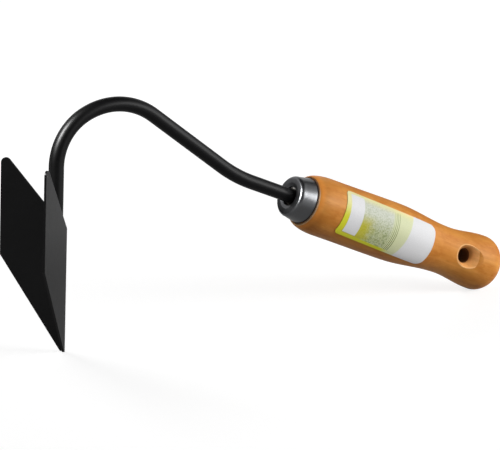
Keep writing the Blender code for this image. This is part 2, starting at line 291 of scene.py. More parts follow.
studio = {
    "ambient": 0.14, "floorHalf": 6.0, "floorColour": (0.35, 0.35, 0.35), "matte": 0.9,
    # from and to a distance, and the glow at each
    "paleAway": (0.35, 1.3, 0.78, 1.0),
    # the same for the share of the glow that reflections show, which ends at 1; it is lower near
    # the object, as painted shade
    "dimNear": (0.08, 0.32, 0.28),
    "lamps": {
        # place, aim, width, height, power, lights surfaces, shows in reflections
        "softbox": ((0.66, -0.77, 0.38), (0.0, 0.0, 0.07), 0.66, 0.48, 10.5, True, True),
        "side": ((1.04, -0.26, 0.46), (0.0, 0.0, 0.07), 0.50, 0.50, 2.0, True, True),
        "left": ((-0.41, -0.03, 0.364), (-0.15, 0.0, 0.13), 0.13, 0.17, 12.0, False, True),
        "behind": ((-0.30, 0.90, 0.65), (0.0, 0.0, 0.06), 0.5, 0.4, 6.0, True, False),
    },
    # black cards that only reflections see: foot of the card, width, height, turn about Z
    "cards": {
        "cameraSide": ((-0.35, -0.535, 0.0), 0.82, 0.75, -12.0),
        "bladeSide": ((-1.05, -0.03, 0.0), 1.7, 1.4, 100.0),
        "farTall": ((0.31, 0.16, 0.0), 0.32, 0.16, 8.0),
        "buttSide": ((0.48, 0.13, 0.0), 0.24, 0.62, 100.0),
        "faceSide": ((-0.10, 0.16, 0.0), 0.24, 0.135, 32.0),
    },
    "overheadHalf": 0.55, "overheadHeight": 0.8, "cardColour": (0.02, 0.02, 0.02),
}


def newMatte(name, colour):
    material, tree, shader = newMaterial(name)
    feed(tree, shader, {
        "Base Color": opaque(colour), "Roughness": studio["matte"], "Specular IOR Level": 0.0,
    })
    return material, tree, shader


def seenAsBackground(tree, inReflections=1.0):
    # 1 where the camera looks at it, inReflections where a reflection or a refraction does
    seen = addNode(tree, "ShaderNodeLightPath").outputs
    mirrored = maths(tree, "MAXIMUM", seen["Is Glossy Ray"], seen["Is Transmission Ray"])
    return maths(tree, "MAXIMUM", seen["Is Camera Ray"], times(tree, mirrored, inReflections))


def addFloor():
    floor = addObject("floor", squareMesh("floor", studio["floorHalf"], 0.0))
    material, tree, shader = newMatte("studioFloor", studio["floorColour"])
    # it pales to white away from the object, so that it meets the backdrop unseen, and
    # reflections show it darker close under the object, as painted shade
    away = addNode(tree, "ShaderNodeVectorMath", {0: objectPlace(tree)}, operation="LENGTH")
    away = away.outputs["Value"]
    seen = seenAsBackground(tree, ramp(tree, away, *studio["dimNear"]))
    glow = times(tree, seen, ramp(tree, away, *studio["paleAway"]))
    feed(tree, shader, {"Emission Color": white, "Emission Strength": glow})
    floor.data.materials.append(material)


def addCard(name, mesh, material):
    card = addObject(name, mesh)
    card.data.materials.append(material)
    card.visible_camera = card.visible_diffuse = card.visible_shadow = False
    card.visible_transmission = False


def addCards():
    material = newMatte("blackCard", studio["cardColour"])[0]
    for name, (foot, width, height, turn) in studio["cards"].items():
        along = Vector((math.cos(math.radians(turn)), math.sin(math.radians(turn)), 0.0))
        left, right = Vector(foot) - along * width / 2, Vector(foot) + along * width / 2
        up = Vector((0.0, 0.0, height))
        corners = [left, right, right + up, left + up]
        addCard(name, pointsToMesh(name, corners, [(0, 1, 2, 3)]), material)
    overhead = squareMesh("overhead", studio["overheadHalf"], studio["overheadHeight"])
    addCard("overhead", overhead, material)


def aimedAt(spot, aim):
    direction = Vector(aim) - Vector(spot)
    pose = direction.to_track_quat("-Z", "Y").to_matrix().to_4x4()
    pose.translation = spot
    return pose


def setStudio():
    scene = bpy.context.scene
    scene.view_settings.view_transform = "Standard"
    world = bpy.data.worlds.new("studio")
    scene.world = world
    world.use_nodes = True
    tree = world.node_tree
    strength = ramp(tree, seenAsBackground(tree), 0.0, 1.0, studio["ambient"], 1.0, "LINEAR")
    feed(tree, tree.nodes["Background"], {"Color": white, "Strength": strength})
    for name, settings in studio["lamps"].items():
        spot, aim, width, height, power, lights, shows = settings
        lamp = bpy.data.lights.new(name, "AREA")
        lamp.shape = "RECTANGLE"
        lamp.size, lamp.size_y = width, height
        lamp.energy = power
        made = addObject(name, lamp)
        made.matrix_world = aimedAt(spot, aim)
        made.visible_diffuse = lights
        made.visible_glossy = shows


setCamera()
setStudio()
addFloor()
addCards()
print("camera and studio set")


# what all the paints share; noise is given as scale, detail and roughness
skin = {
    "fine": (3.0, 0.6), "peel": (2.0, 0.5), "cloud": (38.0, 4.0, 0.6),   # the first two: no scale
    "peelScale": 0.3, "fineHeight": 0.5, "toneSwing": 0.5,
}


def makePaintSkin():
    tree, given, out = newGroup(
        "paintSkin",
        [("Place", "NodeSocketVector", None), ("Grain", "NodeSocketFloat", 900.0),
         ("Roughness", "NodeSocketFloat", 0.5), ("Unevenness", "NodeSocketFloat", 0.08)],
        [("Roughness", "NodeSocketFloat"), ("Height", "NodeSocketFloat"),
         ("Tone", "NodeSocketFloat")],
    )
    fine = noise(tree, given["Place"], given["Grain"], *skin["fine"])
    peelScale = times(tree, given["Grain"], skin["peelScale"])
    peel = noise(tree, given["Place"], peelScale, *skin["peel"])
    cloud = noise(tree, given["Place"], *skin["cloud"])
    lift = maths(tree, "SUBTRACT", cloud, 0.5)
    feed(tree, out, {
        "Roughness": maths(tree, "MULTIPLY_ADD", lift, given["Unevenness"], given["Roughness"]),
        "Height": maths(tree, "MULTIPLY_ADD", fine, skin["fineHeight"], peel),
        "Tone": maths(tree, "MULTIPLY_ADD", lift, skin["toneSwing"], 1.0),
    })
    return tree


paintSkin = makePaintSkin()


def makePaint(name, look):
    material, tree, shader = newMaterial(name)
    painted = placeGroup(tree, paintSkin, {
        "Place": objectPlace(tree), "Grain": look["grain"], "Roughness": look["roughness"],
        "Unevenness": look["unevenness"],
    })
    feed(tree, shader, {
        "Base Color": mixed(tree, 1.0, look["colour"], painted["Tone"], "MULTIPLY"),
        "Roughness": painted["Roughness"], "Specular IOR Level": look["specular"],
    })
    bumped(tree, shader, painted["Height"], look["bump"], look["bumpDepth"])
    return material


rodDiameter = 8.0 * mm   # the fold of the blade is seated on it

blade = {
    "width": 74.0 * mm, "thickness": 1.2 * mm, "foldAngle": math.radians(90),
    "innerRadius": 1.2 * mm, "keel": 69.6 * mm, "topRise": 41.4 * mm, "bottomRise": 53.7 * mm,
    "cornerRadius": 2.8 * mm, "tipFlat": 4.2 * mm, "rodGap": 0.3 * mm,
    "edge": 0.18 * mm, "edgeSegments": 2, "edgeAngle": math.radians(50),
    "foldSteps": 9, "wingSteps": 8, "cornerSteps": 16, "rows": 14,
    "paint": {"colour": (0.0125, 0.0125, 0.013), "grain": 1500.0, "roughness": 0.34,
              "unevenness": 0.1, "specular": 0.074, "bump": 0.25, "bumpDepth": 0.08 * mm},
}


def bladeMesh():
    halfFold = blade["foldAngle"] / 2
    middle = blade["innerRadius"] + blade["thickness"] / 2
    foldHalf = middle * (math.pi / 2 - halfFold)
    apex = (rodDiameter / 2 + blade["rodGap"]) / math.sin(halfFold)
    centre = apex - blade["innerRadius"] / math.sin(halfFold)
    half = blade["width"] / 2
    topSlope = math.atan2(blade["topRise"], half)
    bottomSlope = blade["bottomRise"] / half
    tip = blade["tipFlat"] / 2

    def folded(across, height):
        side = math.copysign(1.0, across)
        turn = min(abs(across), foldHalf) / middle
        beyond = max(abs(across) - foldHalf, 0.0)
        x = centre + middle * math.cos(turn) - beyond * math.cos(halfFold)
        y = middle * math.sin(turn) + beyond * math.sin(halfFold)
        return (x, side * y, height)

    def lower(across):
        return -blade["keel"] + max(across, tip) * bottomSlope

    # half of the flat blank in columns: place across, lowest and highest point
    corner = blade["cornerRadius"]
    cornerX = half - corner
    cornerZ = cornerX * math.tan(topSlope) - corner / math.cos(topSlope)
    cornerStart = cornerX - corner * math.sin(topSlope)
    plain = list(np.linspace(0.0, foldHalf, blade["foldSteps"])) + [tip]
    plain += list(np.linspace(tip, cornerStart, blade["wingSteps"])[1:-1])
    columns = [(x, lower(x), x * math.tan(topSlope)) for x in plain]
    rounding = arcPoints(
        (cornerX, cornerZ), corner, math.pi / 2 + topSlope, 0.0, blade["cornerSteps"]
    )
    columns += [(x, lower(x), z) for x, z in rounding]
    whole = [(-x, low, high) for x, low, high in reversed(columns[1:])] + columns
    rows = blade["rows"]
    points = [
        folded(x, low + (high - low) * i / rows)
        for x, low, high in whole for i in range(rows + 1)
    ]
    sheet = thickSheet("sheet", points, rows, blade["thickness"])
    sheet.modifiers["thickness"].use_even_offset = True
    edge = sheet.modifiers.new("edge", "BEVEL")
    edge.width = blade["edge"]
    edge.segments = blade["edgeSegments"]
    edge.limit_method = "ANGLE"
    edge.angle_limit = blade["edgeAngle"]
    sheet.modifiers.new("shading", "WEIGHTED_NORMAL")
    return baked(sheet)


bladePaint = makePaint("bladePaint", blade["paint"])
showPiece("bladeSheet", bladeMesh(), toolFrame, bladePaint, "furrow_blade")
print("blade made")


rod = {
    "welded": 30.0 * mm, "rise": 34.0 * mm,
    "bends": ((31.5 * mm, -60.0), (40.0 * mm, -64.0)), "slope": 54.0 * mm,
    "swan": (88.0 * mm, 14.5), "lead": 27.9 * mm, "tang": 62.9 * mm, "point": 6.0 * mm,
    "pointDiameter": 4.0 * mm, "chamfer": 0.4 * mm, "coat": 0.1 * mm,
    "neckSteps": 12, "degreesPerStep": 1.5, "straightSteps": 6, "pointSteps": 3, "sides": 48,
    "paint": {"colour": (0.0035, 0.0035, 0.0038), "grain": 1100.0, "roughness": 0.38,
              "unevenness": 0.1, "specular": 0.112, "bump": 0.2, "bumpDepth": 0.06 * mm},
}


def rodRoute():
    heading = math.pi / 2
    route = [(0.0, z) for z in np.linspace(-rod["welded"], rod["rise"], rod["neckSteps"])]

    def turnBy(radius, degrees):
        nonlocal heading
        turn = math.radians(degrees)
        side = math.copysign(math.pi / 2, turn)
        x, z = route[-1]
        centre = (x + radius * math.cos(heading + side), z + radius * math.sin(heading + side))
        steps = math.ceil(abs(degrees) / rod["degreesPerStep"])
        route.extend(arcPoints(centre, radius, heading - side, heading - side + turn, steps)[1:])
        heading += turn

    def runOn(length, steps):
        x, z = route[-1]
        for share in np.linspace(0, length, steps + 1)[1:]:
            route.append((x + share * math.cos(heading), z + share * math.sin(heading)))

    for radius, degrees in rod["bends"]:
        turnBy(radius, degrees)
    runOn(rod["slope"], rod["straightSteps"])
    turnBy(*rod["swan"])
    runOn(rod["lead"], rod["straightSteps"])
    face = route[-1]
    runOn(rod["tang"] - rod["point"], rod["straightSteps"])
    runOn(rod["point"], rod["pointSteps"])
    return route, face, heading


route, ferruleFace, handleHeading = rodRoute()
handleFrame = (
    toolFrame @ Matrix.Translation((ferruleFace[0], 0.0, ferruleFace[1]))
    @ Matrix.Rotation(math.pi / 2 - handleHeading, 4, "Y")
)


def rodMesh():
    spots = [np.array(p) for p in route]
    full = rodDiameter / 2 + rod["coat"]   # the bar and its paint
    radii = [full] * len(spots)
    narrowing, steps = (rodDiameter - rod["pointDiameter"]) / 2, rod["pointSteps"]
    for k in range(1, steps + 1):
        radii[k - steps - 1] -= narrowing * k / steps
    spots[0:1] = [spots[0], spots[0] + np.array((0.0, rod["chamfer"]))]
    radii[0:1] = [full - rod["chamfer"], full]
    points, sides = [], rod["sides"]
    for i, spot in enumerate(spots):
        ahead = spots[min(i + 1, len(spots) - 1)] - spots[max(i - 1, 0)]
        ahead = ahead / np.linalg.norm(ahead)
        for k in range(sides):
            turn = 2 * math.pi * k / sides
            out = radii[i] * math.cos(turn)
            points.append((spot[0] - ahead[1] * out, radii[i] * math.sin(turn),
                           spot[1] + ahead[0] * out))
    return smoothed(tubeMesh("rod", points, sides))


rodPaint = makePaint("rodPaint", rod["paint"])
showPiece("gooseneckRod", rodMesh(), toolFrame, rodPaint, "gooseneck_shank")
print("rod made")


weld = {
    "start": -3.0 * mm, "length": 24.0 * mm, "reach": 4.3 * mm, "height": 1.8 * mm,
    "radius": 2.4 * mm, "endFloor": 0.06, "stations": 120, "sides": 18, "sharpAbove": 60,
    "ripples": 17, "ripple": 0.16 * mm, "rippleRound": 0.6,
    "bow": 0.35 * mm, "bowTurn": math.radians(50),
    "drift": (0.12 * mm, 9.0, 0.08 * mm, 23.0),   # two waves sideways: height, turn in radians
    "paint": {"colour": (0.012, 0.012, 0.0125), "grain": 900.0, "roughness": 0.45,
              "unevenness": 0.15, "specular": 0.3, "bump": 0.4, "bumpDepth": 0.12 * mm},
}


def weldMesh(side):
    half = blade["foldAngle"] / 2
    along = Vector((-math.cos(half), side * math.sin(half), 0.0))
    inward = Vector((-math.sin(half), -side * math.cos(half), 0.0))
    foot = inward * -(rodDiameter / 2 + blade["rodGap"])
    middle = foot + along * weld["reach"] + inward * weld["height"]
    slow, slowTurns, quick, quickTurns = weld["drift"]
    points, sides = [], weld["sides"]
    for s in range(weld["stations"] + 1):
        share = s / weld["stations"]
        z = weld["start"] - weld["length"] * share
        ends = min(share, 1 - share) * weld["length"] / weld["radius"]
        closing = math.sqrt(max(weld["endFloor"], 1 - (1 - min(ends, 1.0)) ** 2))
        wave = (share * weld["ripples"]) % 1.0
        swell = weld["ripple"] * (math.sin(math.pi * wave) ** weld["rippleRound"] - 0.5)
        radius = weld["radius"] * closing + swell
        drift = slow * math.sin(slowTurns * share + side) + quick * math.sin(quickTurns * share)
        for k in range(sides):
            turn = 2 * math.pi * k / sides
            spot = middle + along * (radius * math.cos(turn) + drift)
            spot += inward * radius * math.sin(turn)
            bow = weld["bow"] * math.cos(turn - weld["bowTurn"])
            points.append((spot.x, spot.y, z + bow))
    return smoothed(tubeMesh("weld", points, sides), weld["sharpAbove"])


weldPaint = makePaint("weldPaint", weld["paint"])
showPiece("weldNear", weldMesh(-1), toolFrame, weldPaint, "weld_bead_near")
showPiece("weldFar", weldMesh(1), toolFrame, weldPaint, "weld_bead_far")
print("welds made")


ferrule = {
    "length": 10.4 * mm, "front": 12.15 * mm, "rear": 13.4 * mm, "rim": 0.15 * mm,
    "corner": 2.0 * mm, "cornerDepth": 2.8 * mm, "bow": 1.15, "wall": 1.0 * mm,
    "hole": 5.7 * mm, "bend": 0.6 * mm, "dishFloor": 6.0 * mm, "dish": 7.8 * mm,
    "dishDepth": 1.0 * mm, "roll": 0.5 * mm,
    "steps": 192, "sideSteps": 15, "cornerSteps": 21, "rollSteps": 5, "bendSteps": 6,
    "innerSteps": 8, "sharpAbove": 40,
    "colour": (0.098, 0.100, 0.104), "roughness": 0.21, "lineRoughness": 0.08,
    "smudgeRoughness": 0.12, "bump": 0.08, "bumpDepth": 0.05 * mm,
    # noise: scale, detail, roughness
    "lines": (120.0, 3.0, 0.6), "linesDrawnOut": 40.0, "smudge": (160.0, 4.0, 0.6),
}


def ferruleMesh():
    f = ferrule
    wall, corner, deep = f["wall"], f["corner"], f["cornerDepth"]
    middle = (f["front"] - corner, corner)
    profile = [(f["rear"] - f["rim"], f["length"])]
    # the side swells from the rounded corner to the rim
    side, swell = f["length"] - deep, f["rear"] - f["front"]
    for share in np.linspace(1.0 - f["rim"] / side, 0.0, f["sideSteps"])[:-1]:
        profile.append((f["rear"] - swell * (1.0 - share) ** f["bow"], deep + side * share))
    start = math.atan(swell * f["bow"] / side * deep / corner)
    for turn in np.linspace(-start, -math.pi / 2, f["cornerSteps"]):
        profile.append((middle[0] + corner * math.cos(turn), deep * (1.0 + math.sin(turn))))
    # the face rolls over a soft ring into the dish, and the dish ends at the hole
    slope = math.atan2(f["dishDepth"], f["dish"] - f["dishFloor"])
    shallow = math.atan2(f["dishDepth"] - f["bend"], f["dish"] - f["hole"] - f["bend"])
    profile += arcPoints(
        (f["dish"] + f["roll"] * math.tan(shallow / 2), f["roll"]), f["roll"],
        -math.pi / 2, -math.pi / 2 - shallow, f["rollSteps"],
    )
    profile += arcPoints(
        (f["hole"] + f["bend"], f["dishDepth"]), f["bend"], -math.pi / 2, -math.pi,
        f["bendSteps"],
    )
    # the inside
    back = f["dishDepth"] + wall
    shift = wall * math.tan(slope / 2)
    profile += [(f["hole"], back), (f["dishFloor"] + shift, back), (f["dish"] + shift, wall)]
    profile += arcPoints(middle, corner - wall, -math.pi / 2, 0.0, f["innerSteps"])
    profile += [(f["rear"] - wall, f["length"])]
    mesh = latheMesh("ferrule", profile, f["steps"], closedLoop=True)
    return smoothed(mesh, f["sharpAbove"])


def makeNickel():
    f = ferrule
    material, tree, shader = newMaterial("polishedNickel")
    place = objectPlace(tree)
    lines = noise(tree, drawnOut(tree, place, f["linesDrawnOut"]), *f["lines"])
    smudge = noise(tree, place, *f["smudge"])
    rough = maths(tree, "MULTIPLY_ADD", lines, f["lineRoughness"], f["roughness"])
    rough = maths(tree, "MULTIPLY_ADD", smudge, f["smudgeRoughness"], rough)
    feed(tree, shader, {"Base Color": opaque(f["colour"]), "Metallic": 1.0, "Roughness": rough})
    bumped(tree, shader, lines, f["bump"], f["bumpDepth"])
    return material


showPiece("ferruleCap", ferruleMesh(), handleFrame, makeNickel(), "ferrule")
print("ferrule made")


handle = {
    "tenon": 10.85 * mm, "tenonStart": 2.3 * mm, "tenonChamfer": 0.8 * mm, "bore": 4.3 * mm,
    "boreDepth": 63.9 * mm, "shoulderStart": 10.75 * mm, "shoulder": 13.9 * mm,
    "shoulderLength": 14.35 * mm, "rim": 0.22 * mm, "rimShare": 0.3, "grip": 17.3 * mm,
    "gripLength": 52.0 * mm, "belly": 17.7 * mm, "taper": 44.0 * mm, "waist": 14.6 * mm,
    "flare": 29.5 * mm, "swell": 17.2 * mm, "butt": 13.5 * mm,
    "hole": 4.25 * mm, "holeFromButt": 33.9 * mm, "holeTurn": math.radians(5),
    "countersink": 9.2 * mm, "mouthBulge": 0.35 * mm, "drillBeyond": 8.0 * mm,
    "drillFlare": 1.6, "drillSteps": 96, "mouthSteps": 9,
    # steps round the handle, and along its shoulder, grip, taper, flare and butt
    "steps": 224, "stations": (20, 14, 30, 26, 26), "sharpAbove": 32,
    "wood": {
        "stain": (0.59, 0.228, 0.040), "stainDark": (0.45, 0.135, 0.018),
        "stainLight": (0.69, 0.30, 0.065), "raw": (0.80, 0.37, 0.115), "rawSpread": (1.12, 0.78),
        # noise: scale, detail, roughness; a ramp: from, to, and the values there if not 0 and 1
        "pith": (52.0 * mm, 21.0 * mm), "ringWidth": 4.2 * mm, "ringLean": 0.03,
        "sway": (26.0, 2.0, 0.5), "swayBy": 14.0 * mm, "wander": (110.0, 2.0, 0.5),
        "wanderBy": 2.5 * mm, "swayDrawnOut": 0.12, "late": (-0.4, 1.0), "lateShare": 0.2,
        "fibre": (900.0, 4.0, 0.65), "fibreTone": (0.2, 0.8, 0.93, 1.06),
        "streak": (170.0, 3.0, 0.6), "streakTone": (0.3, 0.7), "fibreDrawnOut": 0.05,
        "poreScale": 620.0, "pores": (0.10, 0.26, 1.0, 0.0), "poreShare": 0.35,
        "poreDrawnOut": 0.16, "stainDrawnOut": 0.55,
        "blotch": (60.0, 4.0, 0.65), "blotchTone": (0.4, 0.68), "blotchShare": 0.6,
        "patch": (210.0, 3.0, 0.6), "patchTone": (0.48, 0.7), "patchShare": 0.45,
        "gloss": (60.0, 4.0, 0.6), "glossRoughness": (0.3, 0.7, 0.38, 0.48), "rawRoughness": 0.75,
        "varnish": 0.03, "varnishRoughness": 0.35, "specular": 0.1,
        "poreDepth": -0.6, "bump": 0.18, "bumpDepth": 0.1 * mm,
    },
    # where the wood is bare, marked or worn, and where shade and highlights are painted on: a
    # colour or two, and ramps and shares as above
    "wearAndPaintedLight": {
        "holeEdge": (-0.12 * mm, 0.05 * mm),
        "mouthShade": (0.30, 0.115, 0.035), "mouthShadeFades": (1.2 * mm, -0.3 * mm), "mouthShadeShare": 0.65,
        "mouthShadeWidth": 1.05, "mouthShadeTowards": (-0.8, 0.6), "mouthShadeShift": 0.16,
        "lip": (0.0, -3.0 * mm), "lipShare": 0.6,
        "boreShade": (0.05, 0.02, 0.008), "boreShadeEdge": (1.12, 1.02),
        "mouthRim": (1.0, 0.62, 0.27), "rimLine": (0.7 * mm, 0.3 * mm, 0.0, 0.5),
        # the next five are measured from the shoulder's start towards the butt
        "tenonEdge": (0.5 * mm, 0.0), "grooveShadeEdge": (-3.0 * mm, -2.0 * mm),
        "rubbedOver": (5.0 * mm, 0.0), "wornHighlightFrom": (0.1 * mm, 0.2 * mm),
        "wornHighlightTo": (0.75 * mm, 0.5 * mm),
        "grooveShade": (0.08, 0.045, 0.025), "rubbed": (0.98, 0.35, 0.06), "rubbedShare": 0.8,
        "wornRimHighlight": (1.0, 0.68, 0.36), "wornHighlightSide": (-0.8, -0.6),
        "wornHighlightAcross": (-2.0 * mm, 4.0 * mm), "wornHighlightShare": 0.7,
        "tenonGlint": (0.92, 0.88, 0.82), "tenonShade": (0.05, 0.045, 0.04),
        "tenonEnd": (7.0 * mm, 6.0 * mm), "shadeBelow": (4.9 * mm, 4.2 * mm),
    },
}
wood, wearAndPaintedLight = handle["wood"], handle["wearAndPaintedLight"]
shoulderEnd = handle["shoulderStart"] + handle["shoulderLength"]
gripEnd = shoulderEnd + handle["gripLength"]
waistAt = gripEnd + handle["taper"]
swellAt = waistAt + handle["flare"]
buttEnd = swellAt + handle["butt"]
holeAt = buttEnd - handle["holeFromButt"]


def eased(at, start, end, first, last):
    share = (at - start) / (end - start)
    return first + (last - first) * (1 - math.cos(math.pi * share)) / 2


def handleRadius(at):
    h = handle
    if at < shoulderEnd:
        left = (shoulderEnd - at) / h["shoulderLength"]
        return h["shoulder"] + (h["grip"] - h["shoulder"]) * math.sqrt(max(0.0, 1 - left ** 2))
    if at < gripEnd:
        return eased(at, shoulderEnd, gripEnd, h["grip"], h["belly"])
    if at < waistAt:
        return eased(at, gripEnd, waistAt, h["belly"], h["waist"])
    if at < swellAt:
        return eased(at, waistAt, swellAt, h["waist"], h["swell"])
    beyond = (at - swellAt) / h["butt"]
    return h["swell"] * math.sqrt(max(0.0, 1 - beyond ** 2))


def turnedProfile():
    h = handle
    shoulder, grip, taper, flare, butt = h["stations"]
    quarter = math.pi / 2
    stations = [
        shoulderEnd - h["shoulderLength"] * math.cos(a) for a in np.linspace(0.0, quarter, shoulder)
    ]
    stations += list(np.linspace(shoulderEnd, gripEnd, grip)[1:])
    stations += list(np.linspace(gripEnd, waistAt, taper)[1:])
    stations += list(np.linspace(waistAt, swellAt, flare)[1:])
    stations += [swellAt + h["butt"] * math.sin(a) for a in np.linspace(0, quarter, butt)[1:]]
    profile = [(handleRadius(at), at) for at in reversed(stations)]
    profile[0] = (0.0, buttEnd)
    # a small rim on the shoulder, the tenon and the bore
    outer, start, rim = h["shoulder"], h["shoulderStart"], h["rim"]
    profile[-1] = (outer, start + rim)
    profile += [(outer - rim * h["rimShare"], start + rim * h["rimShare"])]
    profile += [(outer - rim, start), (h["tenon"], start)]
    profile += [(h["tenon"], h["tenonStart"] + h["tenonChamfer"])]
    profile += [(h["tenon"] - h["tenonChamfer"], h["tenonStart"]), (h["bore"], h["tenonStart"])]
    return profile + [(h["bore"], h["boreDepth"]), (0.0, h["boreDepth"])]


def drillProfile():
    # the hole and, at both ends, a mouth that opens in a soft curve, on about the CAD's cone
    h = handle
    crest = handleRadius(holeAt)
    mouth = h["countersink"] - h["hole"]
    curve = []
    for share in np.linspace(0.0, 1.0, h["mouthSteps"]):
        bulge = h["mouthBulge"] * math.sin(math.pi * share)
        curve.append((h["hole"] + mouth * share - bulge, crest - mouth + mouth * share + bulge))
    reach = crest + h["drillBeyond"]
    wide = h["countersink"] + h["drillBeyond"] * h["drillFlare"]
    drill = [(0.0, reach), (wide, reach)] + curve[::-1]
    return drill + [(radius, -height) for radius, height in curve] + [(wide, -reach), (0.0, -reach)]


def handleMesh():
    body = addObject("turned", latheMesh("turned", turnedProfile(), handle["steps"]))
    tool = addObject("drill", latheMesh("drill", drillProfile(), handle["drillSteps"]))
    tool.location = (0.0, 0.0, holeAt)
    tool.rotation_euler = (math.pi / 2, 0.0, -handle["holeTurn"])
    cut = body.modifiers.new("hanging hole", "BOOLEAN")
    cut.operation = "DIFFERENCE"
    cut.solver = "EXACT"
    cut.object = tool
    bpy.context.view_layer.update()
    mesh = baked(body)
    bpy.data.objects.remove(tool, do_unlink=True)
    return smoothed(mesh, handle["sharpAbove"])


def makeWoodGrain():
    w = wood
    tree, given, out = newGroup(
        "woodGrain",
        [("Place", "NodeSocketVector", None), ("Light", "NodeSocketColor", white),
         ("Middle", "NodeSocketColor", white), ("Dark", "NodeSocketColor", white)],
        [("Colour", "NodeSocketColor"), ("Pores", "NodeSocketFloat"),
         ("Fibre", "NodeSocketFloat")],
    )
    place = given["Place"]
    # broad growth rings round a pith that lies off to one side, bent by slow noise
    slow = drawnOut(tree, place, w["swayDrawnOut"])
    x, y, z = parts(tree, place)
    x, y = (maths(tree, "ADD", part, off) for part, off in zip((x, y), w["pith"]))
    far = maths(tree, "MULTIPLY_ADD", z, w["ringLean"], hypotenuse(tree, x, y))
    far = maths(tree, "MULTIPLY_ADD", noise(tree, slow, *w["sway"]), w["swayBy"], far)
    far = maths(tree, "MULTIPLY_ADD", noise(tree, slow, *w["wander"]), w["wanderBy"], far)
    wave = maths(tree, "SINE", times(tree, far, 2 * math.pi / w["ringWidth"]))
    late = times(tree, ramp(tree, wave, *w["late"]), w["lateShare"])
    # long fibres and short dark pores that run along the handle
    long = drawnOut(tree, place, w["fibreDrawnOut"])
    fibre = noise(tree, long, *w["fibre"])
    streak = ramp(tree, noise(tree, long, *w["streak"]), *w["streakTone"])
    cells = addNode(tree, "ShaderNodeTexVoronoi", {
        "Vector": drawnOut(tree, place, w["poreDrawnOut"]), "Scale": w["poreScale"],
    })
    pores = ramp(tree, cells.outputs["Distance"], *w["pores"])
    # where the stain went in deeper
    loose = drawnOut(tree, place, w["stainDrawnOut"])
    blotch = ramp(tree, noise(tree, loose, *w["blotch"]), *w["blotchTone"])
    patch = ramp(tree, noise(tree, loose, *w["patch"]), *w["patchTone"])
    light, dark = given["Light"], given["Dark"]
    colour = mixed(tree, streak, light, given["Middle"])
    colour = mixed(tree, late, colour, dark)
    colour = mixed(tree, times(tree, blotch, w["blotchShare"]), colour, dark)
    colour = mixed(tree, times(tree, patch, w["patchShare"]), colour, light)
    colour = mixed(tree, 1.0, colour, ramp(tree, fibre, *w["fibreTone"], "LINEAR"), "MULTIPLY")
    colour = mixed(tree, times(tree, pores, w["poreShare"]), colour, dark)
    feed(tree, out, {"Colour": colour, "Pores": pores, "Fibre": fibre})
    return tree


woodGrain = makeWoodGrain()


def drilledMask(tree, place):
    # the hole with its two mouths, in its own frame: y along it, z towards the butt
    turned = addNode(tree, "ShaderNodeMapping", {
        "Vector": place, "Location": (0.0, 0.0, holeAt),
        "Rotation": (0.0, 0.0, -handle["holeTurn"]),
    }, vector_type="TEXTURE")
    x, y, z = parts(tree, turned.outputs[0])
    ring = hypotenuse(tree, x, z)
    floor = handleRadius(holeAt) - (handle["countersink"] - handle["hole"])
    depth = maths(tree, "SUBTRACT", maths(tree, "ABSOLUTE", y), floor)
    wall = maths(tree, "ADD", maths(tree, "MAXIMUM", depth, 0), handle["hole"])
    inHole = ramp(tree, maths(tree, "SUBTRACT", wall, ring), *wearAndPaintedLight["holeEdge"])
    return inHole, ring, x, z


def holeMarksAndShade(tree, place, colour, drilled):
    h = handle
    inHole, ring, x, z = drilled
    # painted shade: the mouth is darkened, more on its upper side towards the butt and on the
    # ferrule's side, and the bore is darker still
    upward, toButt = wearAndPaintedLight["mouthShadeTowards"]
    shift = maths(tree, "MULTIPLY_ADD", z, toButt, times(tree, x, upward))
    edge = maths(tree, "MULTIPLY_ADD", shift, wearAndPaintedLight["mouthShadeShift"], h["hole"] * wearAndPaintedLight["mouthShadeWidth"])
    mouthShade = ramp(tree, maths(tree, "SUBTRACT", ring, edge), *wearAndPaintedLight["mouthShadeFades"])
    mouthShade = times(tree, times(tree, inHole, mouthShade), wearAndPaintedLight["mouthShadeShare"])
    lip = times(tree, times(tree, inHole, ramp(tree, z, *wearAndPaintedLight["lip"])), wearAndPaintedLight["lipShare"])
    colour = mixed(tree, maths(tree, "MAXIMUM", mouthShade, lip), colour, wearAndPaintedLight["mouthShade"])
    boreShadeMask = ramp(tree, ring, *(h["hole"] * share for share in wearAndPaintedLight["boreShadeEdge"]))
    colour = mixed(tree, times(tree, inHole, boreShadeMask), colour, wearAndPaintedLight["boreShade"])
    # a thin pale line where the countersink cuts the varnish
    across, deep, along = parts(tree, place)
    flared = maths(tree, "DIVIDE", maths(tree, "SUBTRACT", along, waistAt), h["flare"])
    flared = maths(tree, "COSINE", times(tree, maths(tree, "MAXIMUM", flared, 0.0), math.pi))
    half = (h["swell"] - h["waist"]) / 2
    surface = maths(tree, "MULTIPLY_ADD", flared, -half, h["waist"] + half)
    under = maths(tree, "SUBTRACT", surface, hypotenuse(tree, across, deep))
    rimLine = times(tree, inHole, ramp(tree, under, *wearAndPaintedLight["rimLine"]))
    return mixed(tree, rimLine, colour, wearAndPaintedLight["mouthRim"])


